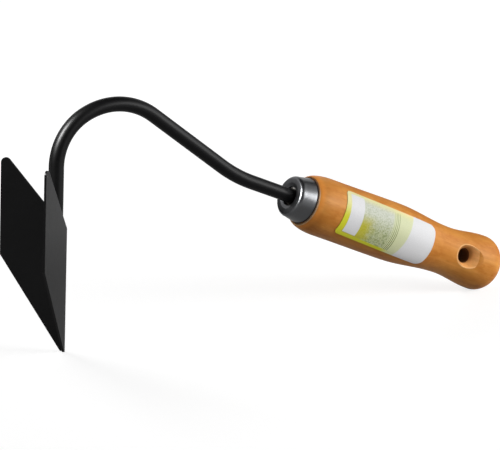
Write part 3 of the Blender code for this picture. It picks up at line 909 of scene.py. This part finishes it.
def shoulderMarksAndLight(tree, place, colour, onTenon):
    x, y, along = parts(tree, place)
    upward = times(tree, x, -1.0)

    def band(name):
        return ramp(tree, along, *(handle["shoulderStart"] + past for past in wearAndPaintedLight[name]))

    # painted shade: the tenon is dark in the gap between the ferrule and the shoulder
    colour = mixed(tree, times(tree, onTenon, band("grooveShadeEdge")), colour, wearAndPaintedLight["grooveShade"])
    # painted shade darkens the tenon's end, but for a pale painted highlight on the part that faces
    # up
    sunk = ramp(tree, along, *(handle["tenonStart"] + past for past in wearAndPaintedLight["tenonEnd"]))
    shadedBelow = ramp(tree, upward, *wearAndPaintedLight["shadeBelow"])
    endGlintAndShade = mixed(tree, shadedBelow, wearAndPaintedLight["tenonGlint"], wearAndPaintedLight["tenonShade"])
    colour = mixed(tree, sunk, colour, endGlintAndShade)
    # the stain is rubbed thin where the shoulder begins, and its edge on the near lower side is
    # worn pale and carries a painted highlight
    share = wearAndPaintedLight["rubbedShare"]
    offTenon = maths(tree, "SUBTRACT", share, times(tree, onTenon, share))
    colour = mixed(tree, times(tree, band("rubbedOver"), offTenon), colour, wearAndPaintedLight["rubbed"])
    up, near = wearAndPaintedLight["wornHighlightSide"]
    nearSide = maths(tree, "MULTIPLY_ADD", upward, up, times(tree, y, near))
    wornHighlight = times(tree, band("wornHighlightFrom"), band("wornHighlightTo"))
    wornHighlight = times(tree, wornHighlight, ramp(tree, nearSide, *wearAndPaintedLight["wornHighlightAcross"]))
    return mixed(tree, times(tree, wornHighlight, wearAndPaintedLight["wornHighlightShare"]), colour, wearAndPaintedLight["wornRimHighlight"])


def makeVarnishedWood():
    w = wood
    material, tree, shader = newMaterial("varnishedWood")
    place = objectPlace(tree)

    def grained(light, middle, dark):
        return placeGroup(tree, woodGrain, {
            "Place": place, "Light": opaque(light), "Middle": opaque(middle),
            "Dark": opaque(dark),
        })

    stained = grained(w["stainLight"], w["stain"], w["stainDark"])
    pale, dull = (tuple(c * by for c in w["raw"]) for by in w["rawSpread"])
    bare = grained(pale, w["raw"], dull)
    # bare wood: the drilled hole with its countersinks, and the tenon
    drilled = drilledMask(tree, place)
    tenonEdge = (handle["shoulderStart"] + past for past in wearAndPaintedLight["tenonEdge"])
    onTenon = ramp(tree, parts(tree, place)[2], *tenonEdge)
    isBare = maths(tree, "MAXIMUM", drilled[0], onTenon)
    colour = mixed(tree, isBare, stained["Colour"], bare["Colour"])
    colour = holeMarksAndShade(tree, place, colour, drilled)
    colour = shoulderMarksAndLight(tree, place, colour, onTenon)
    gloss = ramp(tree, noise(tree, place, *w["gloss"]), *w["glossRoughness"])
    rough = addNode(tree, "ShaderNodeMix", {0: isBare, 2: gloss, 3: w["rawRoughness"]},
                    data_type="FLOAT")
    coat = maths(tree, "SUBTRACT", w["varnish"], times(tree, isBare, w["varnish"]))
    feed(tree, shader, {
        "Base Color": colour, "Roughness": rough.outputs[0], "Coat Weight": coat,
        "Coat Roughness": w["varnishRoughness"], "Specular IOR Level": w["specular"],
    })
    height = maths(tree, "MULTIPLY_ADD", stained["Pores"], w["poreDepth"], stained["Fibre"])
    bumped(tree, shader, height, w["bump"], w["bumpDepth"])
    return material


varnishedWood = makeVarnishedWood()
showPiece("turnedHandle", handleMesh(), handleFrame, varnishedWood, "handle")
print("handle made")


label = {
    "start": 29.1 * mm, "length": 71.0 * mm, "width": 28.6 * mm, "thickness": 0.2 * mm,
    "corner": 3.0 * mm, "buttCorner": 4.5 * mm, "tilt": math.radians(-2.7), "gap": 0.12 * mm,
    "cornerSteps": 9, "columns": 44, "rows": 32, "sharpAbove": 40,
    "roughness": 0.5, "specular": 0.2, "bump": 0.05, "bumpDepth": 0.05 * mm,
    "cream": (0.74, 0.70, 0.36), "creamEnd": (0.84, 0.68, 0.36), "lime": (0.62, 0.62, 0.03),
    "olive": (0.50, 0.45, 0.01), "mist": (0.58, 0.60, 0.52), "sage": (0.50, 0.53, 0.30),
    "shade": (0.24, 0.29, 0.12), "pale": (0.62, 0.65, 0.40), "line": (0.11, 0.15, 0.02),
    "white": (0.70, 0.70, 0.71),
    # millimetres from the label's middle, U towards the butt and V up; ramps and noise as above
    "printed": {
        "around": 17.5 * mm, "texture": (900.0, 3.0, 0.75), "speck": (2600.0, 2.0, 0.7),
        "cloud": (260.0, 3.0, 0.6),
        "sageV": (8.0, -8.0), "dapple": (0.42, 0.64), "dappleV": (9.0, -8.0, 0.4, 1.0),
        "wisps": (0.5, 0.75), "wispShare": 0.5,
        "oliveU": (-5.0, -14.0), "oliveV": (5.0, -4.0), "oliveSway": 9.0, "oliveShare": 0.85,
        "creamV": (9.0, 13.0), "creamShare": 0.7, "fieldEndsU": (0.0, 2.0),
        "paleEndsV": (9.0, 13.5),
        "linesU": (1.4, 6.4), "lineSpacing": 1.25, "lineEnds": 0.3, "lineEdge": (0.0, 0.8),
        "linesTopV": (12.6, 11.0), "linesFaintV": (10.0, -8.0, 0.55, 1.0),
        "upperBorderU": (-10.0, 20.0), "lowerBorderU": (0.0, 9.0), "borderV": (10.0, -3.0),
        "leftEdgeU": (-31.6, -32.2), "topEdgeV": (12.7, 13.1), "lowEdgeV": (-11.8, -12.4),
        "whiteU": (13.6, 14.4), "whiteSlant": -0.167,
        "panelU": (-32.0, -21.6), "panelV": (-11.6, 12.7), "panelEdge": 0.4, "panelSlant": 0.05,
        "speckTone": (0.3, 0.7, 0.94, 1.04), "footLightV": (0.0, -13.0, 1.0, 1.22),
    },
}
printed = label["printed"]


def labelMesh():
    middle = label["start"] + label["length"] / 2
    lift = label["gap"] + label["thickness"] / 2
    half, halfWidth = label["length"] / 2, label["width"] / 2
    cosine, sine = math.cos(label["tilt"]), math.sin(label["tilt"])

    def rounding(corner):
        return [
            (half - corner * (1 - math.sin(a)), halfWidth - corner * (1 - math.cos(a)))
            for a in np.linspace(0.0, math.pi / 2, label["cornerSteps"])
        ]

    # columns: place along the label, and half its width there
    front, back = rounding(label["corner"]), rounding(label["buttCorner"])
    straight = np.linspace(-front[0][0], back[0][0], label["columns"])[1:-1]
    columns = [(-x, w) for x, w in reversed(front)]
    columns += [(x, halfWidth) for x in straight] + back
    points = []
    for x, width in columns:
        for y in np.linspace(width, -width, label["rows"] + 1):
            at = middle + x * cosine - y * sine
            radius = handleRadius(at)
            turn = (x * sine + y * cosine) / radius
            radius += lift
            points.append((-radius * math.sin(turn), -radius * math.cos(turn), at))
    sheet = thickSheet("paper", points, label["rows"], label["thickness"])
    return smoothed(baked(sheet), label["sharpAbove"])


def mottledField(tree, place, u, v, texture):
    # hazy above and greener below, with an olive corner, and plain beyond its end
    p = printed
    cloud = noise(tree, place, *p["cloud"])
    field = mixed(tree, ramp(tree, v, *p["sageV"]), label["mist"], label["sage"])
    dapple = times(tree, ramp(tree, texture, *p["dapple"]), ramp(tree, v, *p["dappleV"]))
    field = mixed(tree, dapple, field, label["shade"])
    wisps = times(tree, ramp(tree, cloud, *p["wisps"]), p["wispShare"])
    field = mixed(tree, wisps, field, label["mist"])
    reach = maths(tree, "MULTIPLY_ADD", cloud, p["oliveSway"], u)
    corner = times(tree, ramp(tree, reach, *p["oliveU"]), ramp(tree, v, *p["oliveV"]))
    field = mixed(tree, times(tree, corner, p["oliveShare"]), field, label["olive"])
    top = times(tree, ramp(tree, v, *p["creamV"]), p["creamShare"])
    field = mixed(tree, top, field, label["cream"])
    pale = mixed(tree, ramp(tree, v, *p["paleEndsV"]), label["pale"], label["cream"])
    return mixed(tree, ramp(tree, u, *p["fieldEndsU"]), field, pale)


def between(tree, value, low, high, edge):
    # 1 from low to high, fading over edge inside both
    return times(tree, ramp(tree, value, low, low + edge), ramp(tree, value, high, high - edge))


def hairLines(tree, u, v):
    # they run round the handle beside the field
    p = printed
    wave = maths(tree, "SINE", times(tree, u, 2 * math.pi / p["lineSpacing"]))
    area = between(tree, u, *p["linesU"], p["lineEnds"])
    area = times(tree, area, ramp(tree, v, *p["linesTopV"]))
    area = times(tree, area, ramp(tree, v, *p["linesFaintV"]))
    return times(tree, ramp(tree, wave, *p["lineEdge"]), area)


def addBorder(tree, colour, u, v):
    # cream along the top, lime at the lower left
    p = printed
    upper = mixed(tree, ramp(tree, u, *p["upperBorderU"]), label["cream"], label["creamEnd"])
    below = mixed(tree, ramp(tree, u, *p["lowerBorderU"]), label["lime"], label["pale"])
    border = mixed(tree, ramp(tree, v, *p["borderV"]), upper, below)
    edge = maths(tree, "MAXIMUM", ramp(tree, u, *p["leftEdgeU"]), ramp(tree, v, *p["topEdgeV"]))
    edge = maths(tree, "MAXIMUM", edge, ramp(tree, v, *p["lowEdgeV"]))
    return mixed(tree, edge, colour, border)


def makePrintedPaper():
    p = printed
    material, tree, shader = newMaterial("printedPaper")
    place = objectPlace(tree)
    x, y, z = parts(tree, place)
    turn = maths(tree, "ARCTAN2", times(tree, x, -1), times(tree, y, -1))
    arc = times(tree, turn, p["around"])
    along = maths(tree, "SUBTRACT", z, label["start"] + label["length"] / 2)
    cosine, sine = math.cos(label["tilt"]), math.sin(label["tilt"])
    u = maths(tree, "MULTIPLY_ADD", along, cosine, times(tree, arc, sine))
    v = maths(tree, "MULTIPLY_ADD", arc, cosine, times(tree, along, -sine))
    u, v = times(tree, u, 1 / mm), times(tree, v, 1 / mm)
    texture = noise(tree, place, *p["texture"])
    speck = noise(tree, place, *p["speck"])
    colour = mottledField(tree, place, u, v, texture)
    colour = mixed(tree, hairLines(tree, u, v), colour, label["line"])
    colour = addBorder(tree, colour, u, v)
    # the white end, and a blank panel at the other
    slanted = maths(tree, "MULTIPLY_ADD", v, p["whiteSlant"], u)
    colour = mixed(tree, ramp(tree, slanted, *p["whiteU"]), colour, label["white"])
    slanted = maths(tree, "MULTIPLY_ADD", v, p["panelSlant"], u)
    panel = times(tree, between(tree, slanted, *p["panelU"], p["panelEdge"]),
                  between(tree, v, *p["panelV"], p["panelEdge"]))
    colour = mixed(tree, panel, colour, label["white"])
    # the speckled print, and the label's lower part painted lighter, as painted light from below
    speckAndFootLight = times(tree, ramp(tree, speck, *p["speckTone"]), ramp(tree, v, *p["footLightV"]))
    feed(tree, shader, {
        "Base Color": mixed(tree, 1.0, colour, speckAndFootLight, "MULTIPLY"),
        "Roughness": label["roughness"], "Specular IOR Level": label["specular"],
    })
    bumped(tree, shader, texture, label["bump"], label["bumpDepth"])
    return material


showPiece("labelSheet", labelMesh(), handleFrame, makePrintedPaper(), "label")
print("label made")
